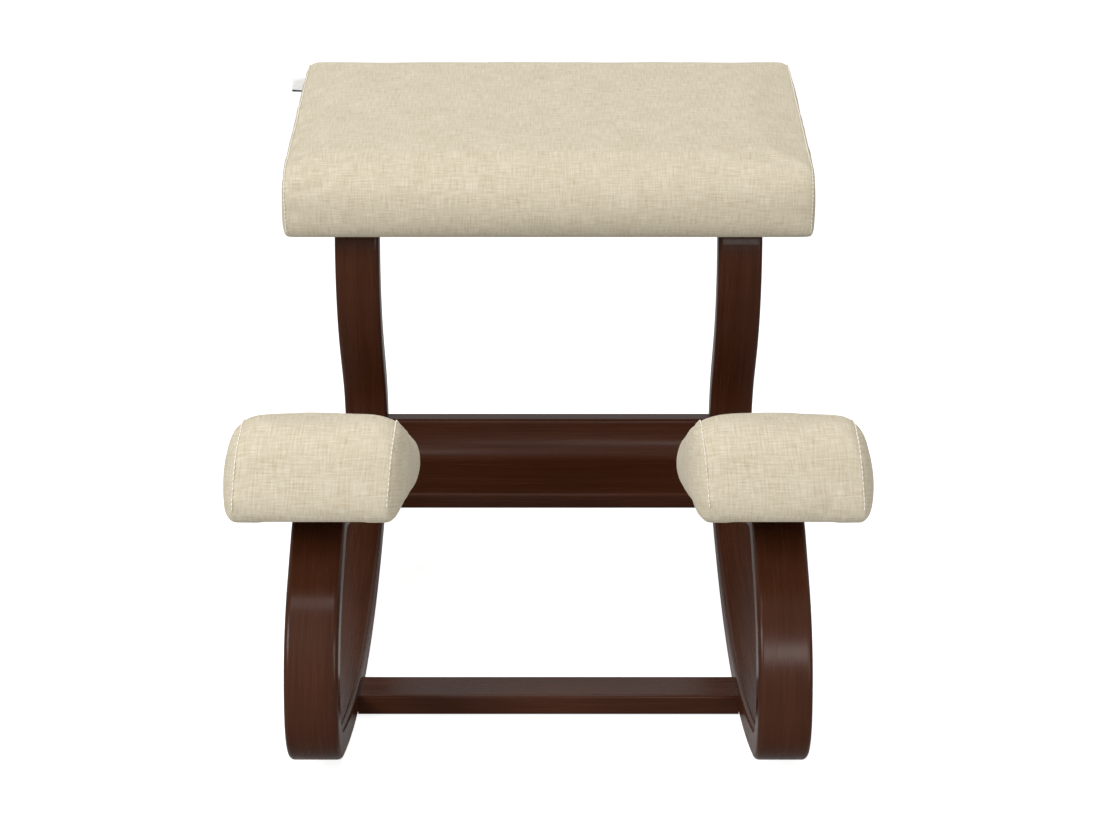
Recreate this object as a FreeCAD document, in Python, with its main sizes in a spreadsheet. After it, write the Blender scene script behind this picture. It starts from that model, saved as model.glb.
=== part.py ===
import FreeCAD, Part
import Sketcher
import math
import os

# Kneeling chair on two bentwood rockers. Millimetres, +Z up, the sitter faces -Y.
# The origin is on the floor, midway between the lowest points of the two rockers.

Vector = FreeCAD.Vector
Rotation = FreeCAD.Rotation
Placement = FreeCAD.Placement

SIZES = [
    # bent strap of each runner, radii to the middle of its thickness
    ("strap_width", 44),
    ("strap_thickness", 25),
    ("strap_edge_round", 4.5),
    ("strap_end_round", 3),
    ("runner_spacing", 382),
    ("rocker_radius", 717.5),
    # rear half: rocker, heel, bow, sway, neck, curl and the straight under the seat
    ("rocker_rear_angle", 29.3),
    ("heel_radius", 45.5),
    ("bow_radius", 125.5),
    ("bow_angle", 33),
    ("lean_length", 36),
    ("sway_radius", 162.5),
    ("neck_angle", 7),
    ("neck_length", 5),
    ("curl_radius", 42),
    ("seat_angle", 16),
    ("seat_rail_length", 175),
    # front half: rocker, toe, shin, crook and the straight under the knee pad
    ("rocker_front_angle", 13.5),
    ("toe_radius", 37.5),
    ("shin_radius", 119.5),
    ("hook_angle", 50),
    ("hook_length", 52),
    ("crook_radius", 42.5),
    ("knee_angle", 12),
    ("knee_rail_length", 68),
    # formed crosspiece between the heels and flat bar between the rockers
    ("crosspiece_thickness", 21),
    ("crosspiece_front_run", 45),
    ("crosspiece_rise", 14),
    ("crosspiece_edge_round", 4),
    ("crossbar_depth", 45),
    ("crossbar_thickness", 18.5),
    ("crossbar_floor_gap", 1.5),
    ("crossbar_forward", 18.5),
    ("crossbar_edge_round", 3),
    # seat: front reach from where its rail begins, overhang past the rail's end
    ("seat_width", 520),
    ("seat_front_reach", 92),
    ("seat_back_overhang", 23),
    ("seat_thickness", 62),
    ("seat_wedge_angle", 0),
    ("seat_nose_round", 30),
    ("seat_back_round", 14),
    ("seat_side_round", 10),
    # knee pads, measured in the same way
    ("knee_width", 143),
    ("knee_front_reach", 136),
    ("knee_back_overhang", 17),
    ("knee_thickness", 84),
    ("knee_wedge_angle", 9.9),
    ("knee_nose_round", 34),
    ("knee_back_round", 12),
    ("knee_side_round", 10),
    ("knee_pad_inward", 6.5),
    # what both kinds of cushion are made of
    ("board_thickness", 12),
    ("board_inset", 9),
    ("board_corner_round", 16),
    ("fabric_thickness", 1.5),
    ("cover_lip", 22),
    ("soft_clearance", 0.3),
    # fixings
    ("bolt_shank", 6),
    ("bolt_head", 12),
    ("bolt_head_height", 3.4),
    ("bolt_head_chamfer", 1),
    ("bolt_socket", 4),
    ("bolt_socket_depth", 2),
    ("bolt_hole_clearance", 0.2),
    ("washer_diameter", 18),
    ("washer_thickness", 1.6),
    ("tee_nut_barrel", 8),
    ("tee_nut_flange", 19),
    ("tee_nut_flange_thickness", 1.5),
    ("tee_nut_length", 9),
    ("seat_bolt_first", 45),
    ("seat_bolt_margin", 20),
    ("knee_bolt_first", 11),
    ("knee_bolt_margin", 21),
    ("counterbore_depth", 6),
    ("counterbore_diameter", 14),
    ("barrel_nut_diameter", 10),
    ("barrel_nut_length", 14),
    ("barrel_nut_setback", 30),
    ("dowel_diameter", 8),
    ("dowel_length", 40),
    ("dowel_chamfer", 1),
    ("crosspiece_bolt_margin", 25),
    ("crossbar_fixing_pitch", 24),
    # blank woven tag in the seat's side seam
    ("tag_width", 13),
    ("tag_height", 11),
    ("tag_thickness", 0.8),
    ("tag_back", 165),
    ("tag_drop", 12),
]

doc = FreeCAD.newDocument("kneeling_chair")
sheet = doc.addObject("Spreadsheet::Sheet", "Sizes")
for row, (alias, number) in enumerate(SIZES, start=1):
    sheet.set("A%d" % row, alias)
    sheet.set("B%d" % row, str(number))
    sheet.setAlias("B%d" % row, alias)
doc.recompute()

# how far a cutting tool runs past the face that it leaves through
OVERRUN = 1

parts = []


def size(alias):
    return float(getattr(sheet, alias))


def unit(heading):
    """Direction in the side plane, heading in degrees from +Y towards +Z."""
    turned = math.radians(heading)
    return Vector(math.cos(turned), math.sin(turned), 0)


class Trail:
    """Tangent lines and arcs in the side plane, each with the sheet words for its sizes."""

    def __init__(self, point, heading):
        self.point = point
        self.heading = heading
        self.steps = []

    def line(self, alias):
        start = self.point
        self.point = start + unit(self.heading) * size(alias)
        self.steps.append({"kind": "line", "start": start, "end": self.point, "words": "Sizes." + alias})

    def arc(self, alias, heading, words):
        """Turn to the new heading on the named radius; words give the turn in degrees."""
        radius = size(alias)
        turn = heading - self.heading
        left = 90 if turn > 0 else -90
        centre = self.point + unit(self.heading + left) * radius
        self.point = centre + unit(heading - left) * radius
        self.steps.append({
            "kind": "arc", "centre": centre, "radius": radius, "from": self.heading - left,
            "to": heading - left, "radius_words": "Sizes." + alias, "turn": abs(turn), "words": words,
        })
        self.heading = heading


def rear_trail():
    """Middle line of the strap from the floor contact back, up and under the seat."""
    trail = Trail(Vector(0, size("strap_thickness") / 2, 0), 0)
    trail.arc("rocker_radius", size("rocker_rear_angle"), "Sizes.rocker_rear_angle")
    trail.arc("heel_radius", 90, "90 - Sizes.rocker_rear_angle")
    trail.arc("bow_radius", 90 + size("bow_angle"), "Sizes.bow_angle")
    trail.line("lean_length")
    trail.arc("sway_radius", 90 - size("neck_angle"), "Sizes.bow_angle + Sizes.neck_angle")
    trail.line("neck_length")
    trail.arc("curl_radius", size("seat_angle"), "90 - Sizes.neck_angle - Sizes.seat_angle")
    return trail


def front_trail():
    """Middle line of the strap from the floor contact forward, up and under the knee pad."""
    trail = Trail(Vector(0, size("strap_thickness") / 2, 0), 180)
    trail.arc("rocker_radius", 180 - size("rocker_front_angle"), "Sizes.rocker_front_angle")
    trail.arc("toe_radius", 90, "90 - Sizes.rocker_front_angle")
    trail.arc("shin_radius", 90 - size("hook_angle"), "Sizes.hook_angle")
    trail.line("hook_length")
    trail.arc("crook_radius", -size("knee_angle"), "90 - Sizes.hook_angle + Sizes.knee_angle")
    return trail


def origin_plane(body, role):
    return next(item for item in body.Origin.OriginFeatures if item.Role == role)


def new_body(name):
    body = doc.addObject("PartDesign::Body", name)
    body.Label = name
    return body


def new_sketch(body, name, role, offset=None):
    sketch = body.newObject("Sketcher::SketchObject", name)
    sketch.AttachmentSupport = [(origin_plane(body, role), "")]
    sketch.MapMode = "FlatFace"
    if offset is not None:
        sketch.AttachmentOffset = offset
    return sketch


def bind(sketch, constraint, name, words):
    """Add a driving constraint and tie it to the sheet."""
    index = sketch.addConstraint(constraint)
    sketch.renameConstraint(index, name)
    sketch.setExpression("Constraints." + name, words)


def arc_of(centre, radius, start, end):
    circle = Part.Circle(centre, Vector(0, 0, 1), radius)
    return Part.ArcOfCircle(circle, math.radians(start), math.radians(end))


def draw_trail(sketch, trail):
    """Path of a bent strap: starts on the vertical axis, level, half a thickness up."""
    first_end = 1
    previous = None
    for number, step in enumerate(trail.steps):
        if step["kind"] == "line":
            geometry = sketch.addGeometry(Part.LineSegment(step["start"], step["end"]), False)
            enter, leave = 1, 2
        elif step["to"] > step["from"]:
            arc = arc_of(step["centre"], step["radius"], step["from"], step["to"])
            geometry = sketch.addGeometry(arc, False)
            enter, leave = 1, 2
        else:
            arc = arc_of(step["centre"], step["radius"], step["to"], step["from"])
            geometry = sketch.addGeometry(arc, False)
            enter, leave = 2, 1
        if previous is None:
            first_end = enter
        else:
            sketch.addConstraint(Sketcher.Constraint("Tangent", previous[0], previous[1], geometry, enter))
        if step["kind"] == "line":
            length = Sketcher.Constraint("Distance", geometry, (step["end"] - step["start"]).Length)
            bind(sketch, length, "length_%d" % number, step["words"])
        else:
            radius = Sketcher.Constraint("Radius", geometry, step["radius"])
            bind(sketch, radius, "radius_%d" % number, step["radius_words"])
            turn = Sketcher.Constraint("Angle", geometry, math.radians(step["turn"]))
            bind(sketch, turn, "turn_%d" % number, step["words"])
        previous = (geometry, leave)
    sketch.addConstraint(Sketcher.Constraint("PointOnObject", 0, 3, -2))
    sketch.addConstraint(Sketcher.Constraint("PointOnObject", 0, first_end, -2))
    start_height = size("strap_thickness") / 2
    height = Sketcher.Constraint("DistanceY", -1, 1, 0, first_end, start_height)
    bind(sketch, height, "start_height", "Sizes.strap_thickness / 2")


def draw_rounded_polygon(sketch, corners, radii):
    """Closed convex outline, counterclockwise; gives back its line and arc numbers."""
    count = len(corners)
    cut_backs = []
    for index, corner in enumerate(corners):
        before = (corners[index - 1] - corner).normalize()
        after = (corners[(index + 1) % count] - corner).normalize()
        half = before.getAngle(after) / 2
        cut_backs.append((before, after, radii[index] / math.tan(half), half))
    lines = []
    for index, corner in enumerate(corners):
        following = (index + 1) % count
        start = corner + cut_backs[index][1] * cut_backs[index][2]
        end = corners[following] + cut_backs[following][0] * cut_backs[following][2]
        lines.append(sketch.addGeometry(Part.LineSegment(start, end), False))
    arcs = []
    for index, corner in enumerate(corners):
        before, after, reach, half = cut_backs[index]
        if radii[index] <= 0:
            sketch.addConstraint(Sketcher.Constraint("Coincident", lines[index - 1], 2, lines[index], 1))
            arcs.append(None)
            continue
        centre = corner + (before + after).normalize() * (radii[index] / math.sin(half))
        first = corner + before * reach - centre
        last = corner + after * reach - centre
        start = math.degrees(math.atan2(first.y, first.x))
        end = math.degrees(math.atan2(last.y, last.x))
        arc = sketch.addGeometry(arc_of(centre, radii[index], start, end), False)
        sketch.addConstraint(Sketcher.Constraint("Tangent", lines[index - 1], 2, arc, 1))
        sketch.addConstraint(Sketcher.Constraint("Tangent", arc, 2, lines[index], 1))
        arcs.append(arc)
    return lines, arcs


def draw_rounded_rectangle(sketch, low, high, radius, words):
    """Words name the sides (left, bottom, right, top) and the corner radius; a side without words stays."""
    corners = [low, Vector(high.x, low.y, 0), high, Vector(low.x, high.y, 0)]
    lines, arcs = draw_rounded_polygon(sketch, corners, [radius] * 4)
    for index in (0, 2):
        sketch.addConstraint(Sketcher.Constraint("Horizontal", lines[index]))
        sketch.addConstraint(Sketcher.Constraint("Vertical", lines[index + 1]))
    for arc in arcs[1:]:
        sketch.addConstraint(Sketcher.Constraint("Equal", arcs[0], arc))
    bind(sketch, Sketcher.Constraint("Radius", arcs[0], radius), "corner", words["corner"])
    left = Sketcher.Constraint("DistanceX", -1, 1, lines[3], 1, low.x)
    bottom = Sketcher.Constraint("DistanceY", -1, 1, lines[0], 1, low.y)
    right = Sketcher.Constraint("DistanceX", -1, 1, lines[1], 1, high.x)
    top = Sketcher.Constraint("DistanceY", -1, 1, lines[2], 1, high.y)
    for word, constraint in (("left", left), ("bottom", bottom), ("right", right), ("top", top)):
        if word in words:
            bind(sketch, constraint, word, words[word])
        else:
            sketch.addConstraint(constraint)


def draw_holes(sketch, centres, diameter, words):
    """Equal round holes; their places come from the same values as the bolts."""
    for number, centre in enumerate(centres):
        circle = Part.Circle(centre, Vector(0, 0, 1), diameter / 2)
        hole = sketch.addGeometry(circle, False)
        across = Sketcher.Constraint("Diameter", hole, diameter)
        bind(sketch, across, "hole_%d" % number, words)
        sketch.addConstraint(Sketcher.Constraint("DistanceX", -1, 1, hole, 3, centre.x))
        sketch.addConstraint(Sketcher.Constraint("DistanceY", -1, 1, hole, 3, centre.y))


def pad(body, sketch, name, words, length):
    feature = body.newObject("PartDesign::Pad", name)
    feature.Profile = sketch
    feature.Length = length
    feature.setExpression("Length", words)
    feature.Midplane = True
    return feature


def pocket(body, sketch, name, words, length, reverse=False, midplane=False):
    feature = body.newObject("PartDesign::Pocket", name)
    feature.Profile = sketch
    feature.Length = length
    feature.setExpression("Length", words)
    feature.Reversed = reverse
    feature.Midplane = midplane
    doc.recompute()
    before = feature.BaseFeature.Shape.Volume
    if feature.Shape.Volume >= before - 1:
        raise RuntimeError(name + " cuts nothing")
    return feature


def pipe(body, section, path, name):
    feature = body.newObject("PartDesign::AdditivePipe", name)
    feature.Profile = section
    feature.Spine = path
    feature.Mode = "Standard"
    return feature


def fillet(body, edges, name, words, radius):
    """Round the numbered edges of the body's last feature."""
    base = body.Tip
    feature = body.newObject("PartDesign::Fillet", name)
    feature.Base = (base, ["Edge%d" % (index + 1) for index in edges])
    feature.Radius = radius
    feature.setExpression("Radius", words)
    return feature


def edges_where(shape, test):
    return [index for index, edge in enumerate(shape.Edges) if test(edge)]


REAR = rear_trail()
FRONT = front_trail()


def rail_frame(trail, slope):
    """Place on the strap's upper face where its straight end begins; Y runs back along it."""
    upward = unit(slope + 90) * (size("strap_thickness") / 2)
    point = trail.point + upward
    return Placement(Vector(0, point.x, point.y), Rotation(Vector(1, 0, 0), slope))


SEAT_FRAME = rail_frame(REAR, size("seat_angle"))
KNEE_FRAME = rail_frame(FRONT, -size("knee_angle"))
REAR.line("seat_rail_length")
FRONT.line("knee_rail_length")
SIDES = [("left", -1), ("right", 1)]


def rail_bolt_places(rail):
    """Distances along a rail of its two bolts, the second set in from the rail's end."""
    return [size(rail + "_bolt_first"), size(rail + "_rail_length") - size(rail + "_bolt_margin")]


def crosspiece_fixings():
    """Side-plane points and headings of the crosspiece's bolts, and points of its dowels."""
    rocker_centre = Vector(0, size("strap_thickness") / 2 + size("rocker_radius"), 0)
    slope = size("rocker_rear_angle")
    heel_centre = rocker_centre + unit(slope - 90) * (size("rocker_radius") - size("heel_radius"))
    run = size("crosspiece_front_run") - size("crosspiece_bolt_margin")
    low = slope - math.degrees(run / size("rocker_radius"))
    middle = (slope + 90) / 2
    bolts = [
        (rocker_centre + unit(low - 90) * size("rocker_radius"), low),
        (heel_centre + unit(0) * size("heel_radius"), 90),
    ]
    dowels = [heel_centre + unit(middle - 90) * size("heel_radius")]
    return bolts, dowels


def crossbar_fixings():
    """The same for the flat bar: a bolt in the middle and a dowel on each side of it."""
    height = size("crossbar_floor_gap") + size("crossbar_thickness") / 2
    centre = Vector(-size("crossbar_forward"), height, 0)
    half_pitch = Vector(size("crossbar_fixing_pitch") / 2, 0, 0)
    return [(centre, 0)], [centre - half_pitch, centre + half_pitch]


CROSSPIECE_BOLTS, CROSSPIECE_DOWELS = crosspiece_fixings()
CROSSBAR_BOLTS, CROSSBAR_DOWELS = crossbar_fixings()
CLEARANCE_WORDS = " + 2 * Sizes.bolt_hole_clearance"


def lifted(height):
    return Placement(Vector(0, 0, height), Rotation())


def side_plane(distance):
    """Sketch plane parallel to the side plane, moved along X."""
    return lifted(distance)


def build_runner(name, side):
    """Bent laminated strap: two sweeps from the floor contact, then its holes."""
    body = new_body(name)
    width = size("strap_width")
    thickness = size("strap_thickness")
    section = new_sketch(body, name + "_section", "XZ_Plane")
    draw_rounded_rectangle(
        section, Vector(-width / 2, 0, 0), Vector(width / 2, thickness, 0), size("strap_edge_round"),
        {"left": "-Sizes.strap_width / 2", "right": "Sizes.strap_width / 2",
         "top": "Sizes.strap_thickness", "corner": "Sizes.strap_edge_round"})
    for half, trail in (("rear", REAR), ("front", FRONT)):
        path = new_sketch(body, name + "_" + half + "_path", "YZ_Plane")
        draw_trail(path, trail)
        pipe(body, section, path, name + "_" + half + "_sweep")
    doc.recompute()
    ends = [Vector(0, trail.point.x, trail.point.y) for trail in (REAR, FRONT)]

    def on_end_face(edge):
        for end, trail in zip(ends, (REAR, FRONT)):
            heading = unit(trail.heading)
            along = Vector(0, heading.x, heading.y)
            if all(abs((vertex.Point - end).dot(along)) < 0.01 for vertex in edge.Vertexes):
                return True
        return False

    fillet(body, edges_where(body.Tip.Shape, on_end_face), name + "_end_round",
           "Sizes.strap_end_round", size("strap_end_round"))
    hole = size("bolt_shank") + 2 * size("bolt_hole_clearance")
    hole_words = "Sizes.bolt_shank" + CLEARANCE_WORDS
    for rail, frame in (("seat", SEAT_FRAME), ("knee", KNEE_FRAME)):
        sketch = new_sketch(body, "%s_%s_holes" % (name, rail), "XY_Plane", frame)
        draw_holes(sketch, [Vector(0, place, 0) for place in rail_bolt_places(rail)], hole, hole_words)
        pocket(body, sketch, "%s_%s_drilling" % (name, rail), "Sizes.strap_thickness + %s" % OVERRUN,
               thickness + OVERRUN)
    bolts = [point for point, heading in CROSSPIECE_BOLTS + CROSSBAR_BOLTS]
    sketch = new_sketch(body, name + "_side_holes", "YZ_Plane")
    draw_holes(sketch, bolts, hole, hole_words)
    pocket(body, sketch, name + "_side_drilling", "Sizes.strap_width + 2 * %s" % OVERRUN,
           width + 2 * OVERRUN, midplane=True)
    sketch = new_sketch(body, name + "_counterbores", "YZ_Plane", side_plane(side * width / 2))
    draw_holes(sketch, bolts, size("counterbore_diameter"), "Sizes.counterbore_diameter")
    pocket(body, sketch, name + "_counterboring", "Sizes.counterbore_depth", size("counterbore_depth"),
           reverse=side < 0)
    sketch = new_sketch(body, name + "_dowel_holes", "YZ_Plane", side_plane(-side * width / 2))
    draw_holes(sketch, CROSSPIECE_DOWELS + CROSSBAR_DOWELS, size("dowel_diameter"), "Sizes.dowel_diameter")
    pocket(body, sketch, name + "_dowel_drilling", "Sizes.dowel_length / 2", size("dowel_length") / 2,
           reverse=side > 0)
    body.Placement = Placement(Vector(side * size("runner_spacing") / 2, 0, 0), Rotation())
    parts.append(body)


def drill_ends(body, name, bolts, dowels, thickness_alias):
    """Bolt, dowel and barrel nut holes of a bar that fits between the runners."""
    half = (size("runner_spacing") - size("strap_width")) / 2
    depth = size("barrel_nut_setback") + size("barrel_nut_diameter")
    hole = size("bolt_shank") + 2 * size("bolt_hole_clearance")
    nut = size("barrel_nut_diameter") + 2 * size("bolt_hole_clearance")
    for word, side in SIDES:
        label = name + "_" + word
        sketch = new_sketch(body, label + "_bolt_holes", "YZ_Plane", side_plane(side * half))
        draw_holes(sketch, [point for point, heading in bolts], hole, "Sizes.bolt_shank" + CLEARANCE_WORDS)
        pocket(body, sketch, label + "_bolt_drilling", "Sizes.barrel_nut_setback + Sizes.barrel_nut_diameter",
               depth, reverse=side < 0)
        sketch = new_sketch(body, label + "_dowel_holes", "YZ_Plane", side_plane(side * half))
        draw_holes(sketch, dowels, size("dowel_diameter"), "Sizes.dowel_diameter")
        pocket(body, sketch, label + "_dowel_drilling", "Sizes.dowel_length / 2", size("dowel_length") / 2,
               reverse=side < 0)
    for number, (point, heading) in enumerate(bolts):
        outward = Placement(Vector(0, point.x, point.y), Rotation(Vector(1, 0, 0), heading + 180))
        outward = outward * lifted(size(thickness_alias) / 2)
        sketch = new_sketch(body, "%s_nut_holes_%d" % (name, number), "XY_Plane", outward)
        across = half - size("barrel_nut_setback")
        draw_holes(sketch, [Vector(-across, 0, 0), Vector(across, 0, 0)], nut,
                   "Sizes.barrel_nut_diameter" + CLEARANCE_WORDS)
        pocket(body, sketch, "%s_nut_drilling_%d" % (name, number),
               "(Sizes.%s + Sizes.barrel_nut_length) / 2" % thickness_alias,
               (size(thickness_alias) + size("barrel_nut_length")) / 2)


def draw_formed_strip(sketch):
    """Outline of the crosspiece: rocker, heel and bow curves between two square ends."""
    half = size("crosspiece_thickness") / 2
    slope = size("rocker_rear_angle")
    rocker = Vector(0, size("strap_thickness") / 2 + size("rocker_radius"), 0)
    heel = rocker + unit(slope - 90) * (size("rocker_radius") - size("heel_radius"))
    bow = heel + unit(0) * (size("heel_radius") - size("bow_radius"))
    low = slope - math.degrees(size("crosspiece_front_run") / size("rocker_radius"))
    high = math.degrees(size("crosspiece_rise") / size("bow_radius"))
    curves = [
        ("rocker", rocker, low - 90, slope - 90),
        ("heel", heel, slope - 90, 0),
        ("bow", bow, 0, high),
    ]
    sides = {}
    for word, sign in (("outer", 1), ("inner", -1)):
        arcs = []
        for curve, centre, start, end in curves:
            radius = size(curve + "_radius") + sign * half
            arc = sketch.addGeometry(arc_of(centre, radius, start, end), False)
            if word == "outer":
                words = "Sizes.%s_radius + Sizes.crosspiece_thickness / 2" % curve
                bind(sketch, Sketcher.Constraint("Radius", arc, radius), curve, words)
            if arcs:
                sketch.addConstraint(Sketcher.Constraint("Tangent", arcs[-1], 2, arc, 1))
            arcs.append(arc)
        sides[word] = arcs
    outer, inner = sides["outer"], sides["inner"]
    for first, second in zip(outer, inner):
        sketch.addConstraint(Sketcher.Constraint("Coincident", first, 3, second, 3))
    for pos, which in ((1, 0), (2, -1)):
        points = [sketch.getPoint(arcs[which], pos) for arcs in (outer, inner)]
        line = sketch.addGeometry(Part.LineSegment(points[0], points[1]), False)
        sketch.addConstraint(Sketcher.Constraint("Coincident", line, 1, outer[which], pos))
        sketch.addConstraint(Sketcher.Constraint("Coincident", line, 2, inner[which], pos))
        sketch.addConstraint(Sketcher.Constraint("PointOnObject", outer[which], 3, line))
        if which == 0:
            across = Sketcher.Constraint("Distance", line, 2 * half)
            bind(sketch, across, "thickness", "Sizes.crosspiece_thickness")
    sketch.addConstraint(Sketcher.Constraint("PointOnObject", outer[0], 3, -2))
    height = Sketcher.Constraint("DistanceY", -1, 1, outer[0], 3, rocker.y)
    bind(sketch, height, "rocker_height", "Sizes.rocker_radius + Sizes.strap_thickness / 2")
    sketch.addConstraint(Sketcher.Constraint("Horizontal", outer[1], 3, outer[2], 3))
    turns = [
        (outer[0], slope - low, "Sizes.crosspiece_front_run / Sizes.rocker_radius * 180 / pi"),
        (outer[1], 90 - slope, "90 - Sizes.rocker_rear_angle"),
        (outer[2], high, "Sizes.crosspiece_rise / Sizes.bow_radius * 180 / pi"),
    ]
    for number, (arc, turn, words) in enumerate(turns):
        bind(sketch, Sketcher.Constraint("Angle", arc, math.radians(turn)), "turn_%d" % number, words)


def flat_end_edges(shape):
    """Long edges, along X, of the flat end faces of a bar."""
    chosen = []
    for face in shape.Faces:
        if face.Surface.TypeId == "Part::GeomPlane" and abs(face.normalAt(0, 0).x) < 0.01:
            chosen.extend(face.Edges)
    return edges_where(shape, lambda edge: any(edge.isSame(other) for other in chosen)
                       and abs(edge.tangentAt(edge.FirstParameter).x) > 0.99)


def build_crosspiece(name):
    """Formed board between the heels, curved with them, its long edges rounded."""
    body = new_body(name)
    outline = new_sketch(body, name + "_outline", "YZ_Plane")
    draw_formed_strip(outline)
    length = size("runner_spacing") - size("strap_width")
    pad(body, outline, name + "_pad", "Sizes.runner_spacing - Sizes.strap_width", length)
    doc.recompute()
    fillet(body, flat_end_edges(body.Tip.Shape), name + "_edge_round", "Sizes.crosspiece_edge_round",
           size("crosspiece_edge_round"))
    drill_ends(body, name, CROSSPIECE_BOLTS, CROSSPIECE_DOWELS, "crosspiece_thickness")
    parts.append(body)


def build_crossbar(name):
    """Flat bar between the rockers, just clear of the floor."""
    body = new_body(name)
    outline = new_sketch(body, name + "_outline", "YZ_Plane")
    back = -size("crossbar_forward") + size("crossbar_depth") / 2
    base = size("crossbar_floor_gap")
    low = Vector(back - size("crossbar_depth"), base, 0)
    high = Vector(back, base + size("crossbar_thickness"), 0)
    draw_rounded_rectangle(
        outline, low, high, size("crossbar_edge_round"),
        {"left": "-Sizes.crossbar_forward - Sizes.crossbar_depth / 2",
         "right": "-Sizes.crossbar_forward + Sizes.crossbar_depth / 2",
         "bottom": "Sizes.crossbar_floor_gap",
         "top": "Sizes.crossbar_floor_gap + Sizes.crossbar_thickness",
         "corner": "Sizes.crossbar_edge_round"})
    length = size("runner_spacing") - size("strap_width")
    pad(body, outline, name + "_pad", "Sizes.runner_spacing - Sizes.strap_width", length)
    drill_ends(body, name, CROSSBAR_BOLTS, CROSSBAR_DOWELS, "crossbar_thickness")
    parts.append(body)


class Cushion:
    """Sheet words and numbers of one upholstered pad, in its own frame on the strap."""

    def __init__(self, kind):
        self.kind = kind
        self.width = "Sizes.%s_width" % kind
        self.front = "Sizes.%s_front_reach" % kind
        self.back = "(Sizes.%s_rail_length + Sizes.%s_back_overhang)" % (kind, kind)
        self.height = "Sizes.%s_thickness" % kind
        self.nose = "Sizes.%s_nose_round" % kind
        self.heel = "Sizes.%s_back_round" % kind
        self.side = "Sizes.%s_side_round" % kind
        self.wedge = size("%s_wedge_angle" % kind)
        self.wedge_words = "Sizes.%s_wedge_angle" % kind

    def number(self, part):
        return size("%s_%s" % (self.kind, part))

    def back_edge(self):
        return self.number("rail_length") + self.number("back_overhang")


def cushion_block(cushion, name, inset, inset_words, floor, floor_words):
    """Padded side profile with rounded sides; inset moves every face but the floor inwards."""
    body = new_body(name)
    sketch = new_sketch(body, name + "_profile", "YZ_Plane")
    front = -cushion.number("front_reach") + inset
    back = cushion.back_edge() - inset
    tilt = math.radians(cushion.wedge)
    full_front = -cushion.number("front_reach")
    reach = cushion.number("thickness") - inset

    def top_at(place):
        return (reach - (place - full_front) * math.sin(tilt)) / math.cos(tilt)

    nose = cushion.number("nose_round") - inset
    heel = cushion.number("back_round") - inset
    corners = [Vector(front, floor, 0), Vector(back, floor, 0), Vector(back, top_at(back), 0),
               Vector(front, top_at(front), 0)]
    lines, arcs = draw_rounded_polygon(sketch, corners, [0, 0, heel, nose])
    sketch.addConstraint(Sketcher.Constraint("Horizontal", lines[0]))
    sketch.addConstraint(Sketcher.Constraint("Vertical", lines[1]))
    sketch.addConstraint(Sketcher.Constraint("Vertical", lines[3]))
    low = Sketcher.Constraint("DistanceY", -1, 1, lines[0], 1, floor)
    bind(sketch, low, "floor", floor_words)
    bind(sketch, Sketcher.Constraint("DistanceX", -1, 1, lines[0], 1, front), "front",
         "-%s + %s" % (cushion.front, inset_words))
    bind(sketch, Sketcher.Constraint("DistanceX", -1, 1, lines[0], 2, back), "back",
         "%s - %s" % (cushion.back, inset_words))
    back_round = Sketcher.Constraint("Radius", arcs[2], heel)
    bind(sketch, back_round, "heel", "%s - %s" % (cushion.heel, inset_words))
    front_round = Sketcher.Constraint("Radius", arcs[3], nose)
    bind(sketch, front_round, "nose", "%s - %s" % (cushion.nose, inset_words))
    fall = Sketcher.Constraint("Angle", lines[2], math.pi - tilt)
    bind(sketch, fall, "wedge", "180 - " + cushion.wedge_words)
    over = sketch.addGeometry(Part.Point(Vector(full_front, 0, 0)), True)
    sketch.addConstraint(Sketcher.Constraint("PointOnObject", over, 1, -1))
    bind(sketch, Sketcher.Constraint("DistanceX", -1, 1, over, 1, full_front), "corner", "-" + cushion.front)
    bind(sketch, Sketcher.Constraint("Distance", over, 1, lines[2], reach), "rise",
         "%s - %s" % (cushion.height, inset_words))
    width = cushion.number("width") - 2 * inset
    pad(body, sketch, name + "_pad", "%s - 2 * %s" % (cushion.width, inset_words), width)
    doc.recompute()

    def on_side(edge):
        box = edge.BoundBox
        return box.XLength < 0.01 and abs(abs(box.Center.x) - width / 2) < 0.01 and box.ZMax > floor + 0.01

    fillet(body, edges_where(body.Tip.Shape, on_side), name + "_side_round",
           "%s - %s" % (cushion.side, inset_words), cushion.number("side_round") - inset)
    return body


def plan_block(name, cushion, inset, inset_words, base, base_words, height, height_words):
    """Flat board or window under a cushion: rounded rectangle, raised from base by height."""
    body = new_body(name)
    sketch = new_sketch(body, name + "_plan", "XY_Plane", lifted(base))
    sketch.setExpression("AttachmentOffset.Base.z", base_words)
    half = cushion.number("width") / 2 - inset
    front = -cushion.number("front_reach") + inset
    back = cushion.back_edge() - inset
    draw_rounded_rectangle(
        sketch, Vector(-half, front, 0), Vector(half, back, 0), size("board_corner_round"),
        {"left": "-%s / 2 + %s" % (cushion.width, inset_words),
         "right": "%s / 2 - %s" % (cushion.width, inset_words),
         "bottom": "-%s + %s" % (cushion.front, inset_words),
         "top": "%s - %s" % (cushion.back, inset_words),
         "corner": "Sizes.board_corner_round"})
    feature = body.newObject("PartDesign::Pad", name + "_pad")
    feature.Profile = sketch
    feature.Length = height
    feature.setExpression("Length", height_words)
    doc.recompute()
    return body


def cut(name, base, tool):
    feature = doc.addObject("Part::Cut", name)
    feature.Label = name
    feature.Base = base
    feature.Tool = tool
    return feature


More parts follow.
